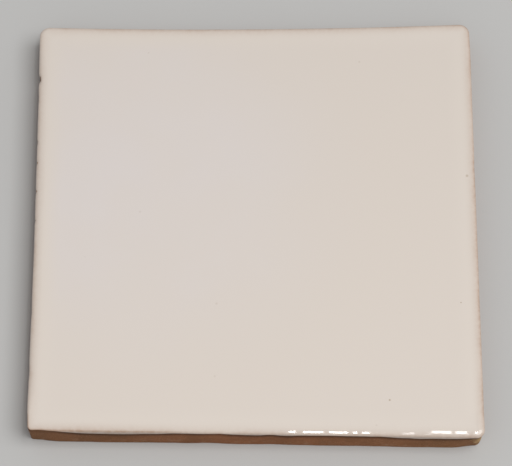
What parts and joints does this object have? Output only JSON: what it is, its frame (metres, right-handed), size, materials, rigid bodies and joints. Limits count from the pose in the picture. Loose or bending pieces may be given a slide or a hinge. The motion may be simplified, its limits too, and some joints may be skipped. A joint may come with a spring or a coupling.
{
  "type": "mexican tile",
  "caption": "Hand-cut square earthenware wall tile with a gently crowned, white-glazed face, a rolled rim, a wavy glaze line and bare brown clay edges and back.",
  "frame": {"origin": "on the back, under the middle of the tile", "axes": "+Z out of the glazed face, -Y towards the front edge, +X towards the longer side"},
  "size_m": [0.105, 0.1063, 0.008],
  "materials": {
    "glazed_earthenware": "glossy white glaze over the face and rim, bare matt brown clay on the edges and back"
  },
  "bodies": {
    "root": {"tile": "glazed_earthenware"}
  },
  "joints": []
}
